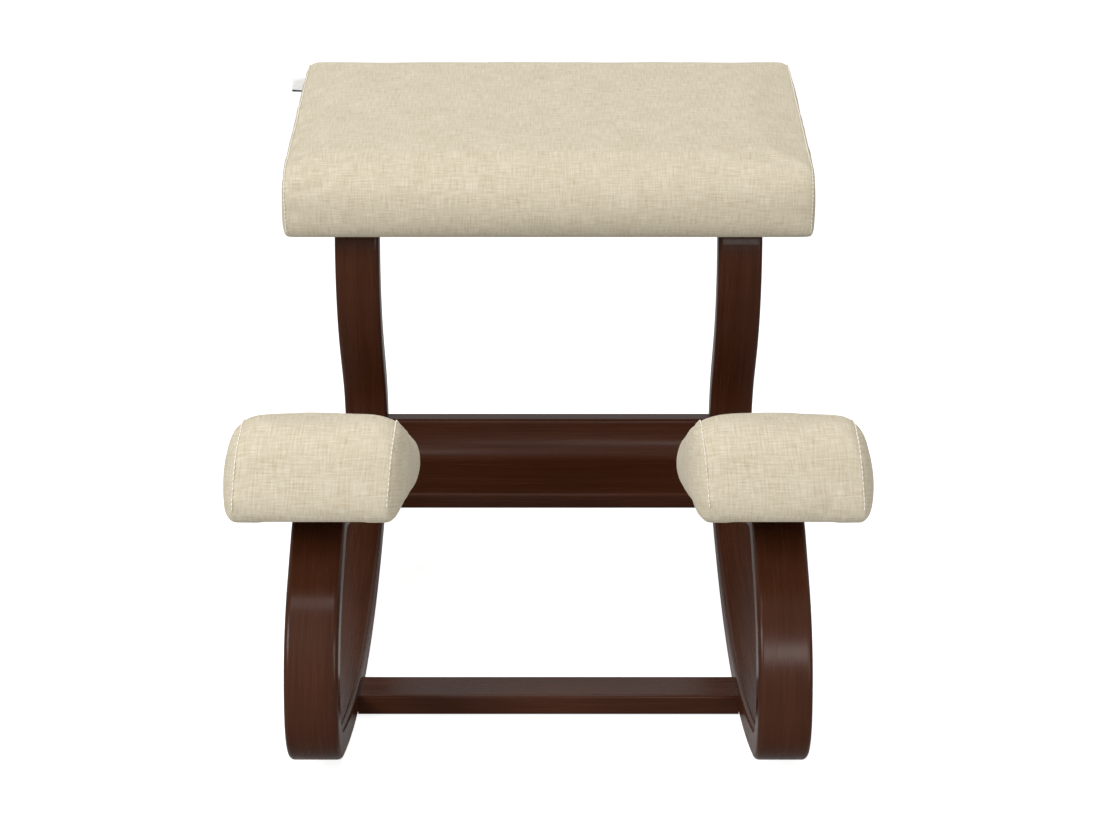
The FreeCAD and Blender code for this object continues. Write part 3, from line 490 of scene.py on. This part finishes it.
class Pad:
    """One cushion in its own frame: X across, Y from its front edge to the back, Z off the strap.

    nose, heel and foot round the side profile's upper front, upper rear and lower front corners, and the
    front hangs droop below the underside. The seams lie seam_inset in from the cover's sides. A side
    panel swells past them by bulge, most at the share fullest of its height. lean moves the top sideways,
    crown raises the middle of the top panel, and pinch draws the seams in: the panels reach their full
    size shoulder away from them.
    """

    def __init__(self, name, slope, height, wedge, nose, heel, foot, droop, seam_inset, bulge,
                 fullest, lean, crown, pinch, shoulder):
        self.name = name
        self.bulge = bulge
        self.fullest = fullest
        self.lean = lean
        self.crown = crown
        self.shoulder = shoulder
        turn = Matrix.Rotation(slope, 3, "X")
        places = np.array([turn.inverted() @ v.co for v in node(name + "_cover").data.vertices])
        low, high = places.min(axis=0), places.max(axis=0)
        self.depth = high[1] - low[1]
        corner = turn @ Vector(((low[0] + high[0]) / 2, low[1], low[2]))
        self.place = Matrix.Translation(corner) @ turn.to_4x4()
        self.seam_half = (high[0] - low[0]) / 2 - seam_inset
        self.across = round(2 * self.seam_half / CELL)
        self.deep = round(self.depth / CELL)
        self.high = round(height / CELL)
        self.full = self.outline(height, wedge, nose, heel, foot, droop, 0.0)
        self.tight = self.outline(height, wedge, nose, heel, foot, droop, pinch)

    def outline(self, height, wedge, nose, heel, foot, droop, pinch):
        """Side profile, drawn in by pinch at its top, front and back, as a grid of points."""
        def top_at(place):
            return (height - pinch - place * math.sin(wedge)) / math.cos(wedge)

        front, back = pinch * PINCH_ENDS, self.depth - pinch * PINCH_ENDS
        corners = [(0.0, -droop), (self.depth, -droop), (back, top_at(back)), (front, top_at(front))]
        radii = [foot, LOWER_REAR_RADIUS, heel, nose]
        sides = rounded_sides(corners, radii, [self.deep, self.high, self.deep, self.high])
        for run in sides:
            past_nose = np.clip((run[:, 0] - foot) / NOSE_LEAD, 0, 1)
            lift = droop * past_nose ** 2 * (3 - 2 * past_nose)
            run[:, 1] += lift * np.clip(1 - (run[:, 1] + droop) / (height * 0.5), 0, 1)
        low, rear, top, face = sides
        top, face = top[::-1], face[::-1]
        v = np.linspace(0, 1, self.deep + 1)[:, None, None]
        w = np.linspace(0, 1, self.high + 1)[None, :, None]
        ruled = (1 - w) * low[:, None] + w * top[:, None] + (1 - v) * face[None] + v * rear[None]
        low_ends = (1 - v) * (1 - w) * low[0] + v * (1 - w) * low[-1]
        return ruled - (low_ends + (1 - v) * w * top[0] + v * w * top[-1])

    def spot(self, i, j, k):
        """Place of grid point i across, j deep and k high, before the cloth is inflated."""
        u, v, w = i / self.across, j / self.deep, k / self.high
        x = self.seam_half * (2 * u - 1) + self.lean * (w - LEAN_LEVEL)
        if i in (0, self.across):
            x += math.copysign(self.bulge * belly(v) * sag(w, self.fullest), x)
            return (x, *self.tight[j, k])
        rise = shoulder_rise((self.seam_half - abs(x)) / self.shoulder)
        y, z = self.tight[j, k] * (1 - rise) + self.full[j, k] * rise
        if k == self.high:
            z += self.crown * swell(u) * swell(v)
        elif k == 0:
            inside = min(self.seam_half - abs(x), y, self.depth - y)
            z += UNDERSIDE_RECESS if inside > COVER_LIP else 0.0
        return x, y, z

    def cloth_place(self, panel, i, j, k):
        """Where a corner of a face lies on the flat cloth of its panel."""
        x = self.seam_half * (2 * i / self.across - 1)
        y, z = self.full[j, k]
        if panel == "side":
            return (y + SIDE_PANEL_AT, z + (SIDE_PANEL_AT if i else 0.0), SIDE_PANEL_AT)
        face = path_lengths(self.full[0])
        over = path_lengths(self.full[:, -1])
        if panel == "front":
            return (x, face[k], 0.0)
        if panel == "top":
            return (x, face[-1] + over[j], 0.0)
        if panel == "back":
            return (x, face[-1] + over[-1] + face[-1] - face[k], 0.0)
        return (x, -y, 0.0)

    def quads(self):
        """Panel and four grid points of each face, turned outwards."""
        n, d, h = self.across, self.deep, self.high
        for j in range(d):
            for k in range(h):
                yield "side", [(0, j, k), (0, j, k + 1), (0, j + 1, k + 1), (0, j + 1, k)]
                yield "side", [(n, j, k), (n, j + 1, k), (n, j + 1, k + 1), (n, j, k + 1)]
        for i in range(n):
            for k in range(h):
                yield "front", [(i, 0, k), (i + 1, 0, k), (i + 1, 0, k + 1), (i, 0, k + 1)]
                yield "back", [(i, d, k), (i, d, k + 1), (i + 1, d, k + 1), (i + 1, d, k)]
            for j in range(d):
                yield "top", [(i, j, h), (i + 1, j, h), (i + 1, j + 1, h), (i, j + 1, h)]
                yield "under", [(i, j, 0), (i, j + 1, 0), (i + 1, j + 1, 0), (i + 1, j, 0)]

    def seam(self, i):
        """Grid points round one side panel, in order."""
        d, h = self.deep, self.high
        loop = [(i, j, 0) for j in range(d)] + [(i, d, k) for k in range(h)]
        return loop + [(i, j, h) for j in range(d, 0, -1)] + [(i, 0, k) for k in range(h, 0, -1)]


def swell(share):
    """1 in the middle of a panel, falling to 0 at its edges."""
    return 1 - abs(2 * share - 1) ** 3


def belly(share):
    """The same for a boxed side panel, which is full almost up to its seams."""
    return 1 - abs(2 * share - 1) ** 7


def sag(share, fullest):
    """Bulge of a side panel up its height, fullest at the given share of it."""
    return math.sin(math.pi * share ** (math.log(0.5) / math.log(fullest))) ** 0.55


def shoulder_rise(share):
    """Quarter circle from 0 at the seam to 1 where the panel is at its full height."""
    return math.sqrt(1 - (1 - min(share, 1.0)) ** 2)


def path_lengths(points):
    """Distance of each point of a path from its start."""
    steps = np.linalg.norm(np.diff(points, axis=0), axis=1)
    return np.concatenate([[0.0], np.cumsum(steps)])


def rounded_sides(corners, radii, counts):
    """Sides of a rounded polygon, each from the middle of one corner's arc to the middle of the next."""
    halves = []
    for index, (corner, radius) in enumerate(zip(corners, radii)):
        here = Vector(corner)
        to_last = (Vector(corners[index - 1]) - here).normalized()
        to_next = (Vector(corners[(index + 1) % len(corners)]) - here).normalized()
        half_angle = to_last.angle(to_next) / 2
        centre = here + (to_last + to_next).normalized() * radius / math.sin(half_angle)
        inward = (here - centre).normalized()
        turn = math.pi / 2 - half_angle
        sense = 1 if to_last.x * to_next.y - to_last.y * to_next.x > 0 else -1
        arc = []
        for share in np.linspace(-1, 1, 2 * ARC_HALF + 1):
            arc.append(centre + radius * (Matrix.Rotation(-sense * turn * share, 2) @ inward))
        halves.append((arc[:ARC_HALF + 1], arc[ARC_HALF:]))
    sides = []
    for index, count in enumerate(counts):
        points = np.array(halves[index][1] + halves[(index + 1) % len(corners)][0])
        lengths = path_lengths(points)
        even = np.linspace(0, lengths[-1], count + 1)
        sides.append(np.stack([np.interp(even, lengths, points[:, axis]) for axis in (0, 1)], axis=1))
    return sides


def build_pad(pad):
    """Sewn cover of one cushion, closed all round, with its stitched seams."""
    index = {}
    places = []
    faces = []
    cloth = []
    for panel, corners in pad.quads():
        face = []
        for corner in corners:
            if corner not in index:
                index[corner] = len(places)
                places.append(pad.spot(*corner))
            face.append(index[corner])
            cloth.append(pad.cloth_place(panel, *corner))
        faces.append(face)
    cushion = new_piece(pad.name + "_cushion", places, faces, LINEN)
    mesh = cushion.data
    layer = mesh.attributes.new("cloth", "FLOAT_VECTOR", "CORNER")
    layer.data.foreach_set("vector", np.array(cloth, dtype=np.float32).ravel())
    mesh.shade_smooth()
    inflate(cushion, pad, index)
    pucker(mesh, pad, index)
    stitch_seams(cushion, pad, index)
    cushion.matrix_world = pad.place
    smooth = cushion.modifiers.new("smooth", "SUBSURF")
    smooth.levels = smooth.render_levels = 1
    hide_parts(pad.name + "_cover", pad.name + "_foam")
    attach(cushion, "root")


def pucker(mesh, pad, index):
    """Small waves in the cloth beside the side seams, and a faint unevenness everywhere."""
    normals = [v.normal.copy() for v in mesh.vertices]
    for (i, j, k), number in index.items():
        if k == 0:
            continue
        place = mesh.vertices[number].co
        if i in (0, pad.across):
            away = min(j, pad.deep - j, k, pad.high - k) * CELL
        else:
            away = min(i, pad.across - i) * CELL
        along = Vector([distance * waves for distance, waves in zip(place, PUCKER_WAVES)])
        wave = noise.noise(along + Vector((9.0, 0.0, 0.0)))
        near = math.exp(-(away / PUCKER_REACH) ** 2) * min(1.0, away / CELL)
        uneven = noise.noise(place * UNEVEN_WAVES) * UNEVEN_HEIGHT
        lift = wave * PUCKER_HEIGHT * near + uneven
        if pad.name == "right_knee" and j == 0:
            lift -= crease_depth(place)
        mesh.vertices[number].co = place + normals[number] * lift


def crease_depth(place):
    """The crease where the right pad's cloth is pulled under, low on its front."""
    (x_top, z_top), (x_low, z_low) = CREASE
    share = min(max((place.z - z_low) / (z_top - z_low), 0.0), 1.0)
    away = place.x - (x_low + (x_top - x_low) * share)
    above = max(place.z - z_top, 0.0)
    return CREASE_DEPTH * math.exp(-(away / CREASE_HALF_WIDTH) ** 2 - (above / CREASE_FADE) ** 2)


def stitch_seams(cushion, pad, index):
    """Light thread down the wrap panel's edges, stitch by stitch, over the top, front and back."""
    places = []
    faces = []
    for i, inward in ((0, 1), (pad.across, -1)):
        route = stitch_route(cushion.data, pad, index, i, inward)
        lengths = path_lengths(route)
        for number in range(int(lengths[-1] / STITCH_PITCH)):
            add_stitch(route, lengths, number * STITCH_PITCH, places, faces)
    stitching = new_piece(pad.name + "_stitching", places, faces, THREAD)
    stitching.data.shade_smooth()
    stitching.matrix_world = pad.place
    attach(stitching, "root")


def stitch_route(mesh, pad, index, i, inward):
    """Points just off the cloth beside one seam, from its lower rear corner round to the front."""
    loop = [spot for spot in pad.seam(i) if spot[2] > 0]
    start = next(n for n, spot in enumerate(loop) if spot[1] == pad.deep)
    line = []
    for spot in loop[start:] + loop[:start]:
        edge = mesh.vertices[index[spot]]
        beside = mesh.vertices[index[(spot[0] + inward, spot[1], spot[2])]]
        lift = (edge.normal + beside.normal).normalized() * STITCH_LIFT
        line.append(edge.co.lerp(beside.co, STITCH_INSET) + lift)
    return np.array(line)


def add_stitch(route, lengths, first, places, faces):
    """One stitch: a short tube, thickest in its middle, that dips into the cloth at both ends."""
    def at(distance):
        return Vector([np.interp(distance, lengths, route[:, axis]) for axis in range(3)])

    along = (at(first + STITCH_LENGTH) - at(first)).normalized()
    out = along.cross(Vector((1, 0, 0))).normalized()
    base = len(places)
    for ring in range(STITCH_RINGS + 1):
        share = ring / STITCH_RINGS
        middle = at(first + STITCH_LENGTH * share)
        middle += out * STITCH_RADIUS * (math.sin(math.pi * share) - 0.5)
        radius = STITCH_RADIUS * (0.45 + 0.55 * math.sin(math.pi * share))
        for side in range(STITCH_SIDES):
            turn = 2 * math.pi * side / STITCH_SIDES
            places.append(middle + radius * (out * math.cos(turn) + Vector((math.sin(turn), 0, 0))))
    for ring in range(STITCH_RINGS):
        here, after = base + ring * STITCH_SIDES, base + (ring + 1) * STITCH_SIDES
        for side in range(STITCH_SIDES):
            turned = (side + 1) % STITCH_SIDES
            faces.append((here + side, here + turned, after + turned, after + side))
    last = base + STITCH_RINGS * STITCH_SIDES
    faces.append(tuple(range(base + STITCH_SIDES - 1, base - 1, -1)))
    faces.append(tuple(range(last, last + STITCH_SIDES)))


def inflate(cushion, pad, index):
    """Blow the cover up between its held seams, cap how far it moves, and keep the result."""
    mesh = cushion.data
    before = np.empty(len(mesh.vertices) * 3, dtype=np.float32)
    mesh.vertices.foreach_get("co", before)
    before = before.reshape(-1, 3)
    held = cushion.vertex_groups.new(name="held")
    held.add([index[spot] for spot in index if spot[2] == 0], 1.0, "REPLACE")
    for i in (0, pad.across):
        held.add([index[spot] for spot in pad.seam(i)], 1.0, "REPLACE")
    cloth = cushion.modifiers.new("cloth", "CLOTH")
    settings = cloth.settings
    settings.quality = 5
    settings.mass = 0.15
    settings.tension_stiffness = 20
    settings.compression_stiffness = 20
    settings.shear_stiffness = 8
    settings.bending_stiffness = 0.3
    settings.use_pressure = True
    settings.uniform_pressure_force = CLOTH_PRESSURE
    settings.vertex_group_mass = "held"
    settings.effector_weights.gravity = 0
    cloth.collision_settings.use_collision = False
    cloth.point_cache.frame_start = 1
    cloth.point_cache.frame_end = CLOTH_FRAMES
    for number in range(1, CLOTH_FRAMES + 1):
        scene.frame_set(number)
    blown = cushion.evaluated_get(bpy.context.evaluated_depsgraph_get())
    after = np.empty_like(before).ravel()
    blown.data.vertices.foreach_get("co", after)
    after = after.reshape(-1, 3)
    move = after - before
    length = np.linalg.norm(move, axis=1, keepdims=True)
    move *= np.minimum(1.0, CLOTH_CAP / np.maximum(length, 1e-9))
    mesh.vertices.foreach_set("co", (before + move).ravel())
    cushion.modifiers.remove(cloth)
    cushion.vertex_groups.clear()
    scene.frame_set(1)


def build_tag(seat):
    """Blank ribbon tag, folded in two and sewn into the seat's left seam near the back."""
    layer = [(TAG_SEWN_IN, TAG_GAP / 2)]
    for share in np.linspace(0.1, 0.9, 9):
        layer.append((TAG_SEWN_IN - (TAG_REACH + TAG_SEWN_IN) * share, TAG_GAP / 2 * (1 + 1.5 * share)))
    fold = []
    for angle in np.linspace(0, math.pi, 7):
        fold.append((-TAG_REACH - TAG_GAP * math.sin(angle), TAG_GAP * math.cos(angle)))
    line = layer + fold + [(x, -y) for x, y in layer[::-1]]
    places = []
    faces = []
    rows = 8
    for row in range(rows + 1):
        share = row / rows
        for x, y in line:
            sway = 0.0012 * math.sin(2.2 * share + 0.4) * (x / TAG_REACH)
            places.append((x, y + sway, TAG_HEIGHT * share + 0.0006 * x / TAG_REACH))
    for row in range(rows):
        for step in range(len(line) - 1):
            here = row * len(line) + step
            faces.append((here, here + 1, here + 1 + len(line), here + len(line)))
    tag = new_piece("seat_tag", places, faces, TAG)
    tag.data.shade_smooth()
    thick = tag.modifiers.new("thick", "SOLIDIFY")
    thick.thickness = TAG_CLOTH
    low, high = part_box("side_tag")
    tag.location = (-seat.seam_half - 0.001, (low.y + high.y) / 2, high.z - TAG_HEIGHT + 0.002)
    tag.rotation_euler = (math.radians(-6), math.radians(4), 0)
    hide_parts("side_tag")
    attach(tag, "root")


def build_upholstery():
    """Seat with its tag, and the two knee pads."""
    seat = Pad("seat", SEAT_SLOPE, SEAT_HEIGHT, 0.0, nose=0.034, heel=0.014, foot=0.024, droop=0.0125,
               seam_inset=0.0045, bulge=0.006, fullest=0.28, lean=0.0, crown=0.0035,
               pinch=0.004, shoulder=0.014)
    build_pad(seat)
    build_tag(seat)
    for side, lean in (("left", KNEE_LEAN), ("right", -KNEE_LEAN)):
        pad = Pad(side + "_knee", KNEE_SLOPE, KNEE_HEIGHT, KNEE_WEDGE, nose=0.038, heel=0.014,
                  foot=0.026, droop=0.007, seam_inset=0.0095, bulge=0.0125, fullest=0.45, lean=lean,
                  crown=0.001, pinch=0.0055, shoulder=0.022)
        build_pad(pad)


dress_frame()
build_upholstery()
build_studio()
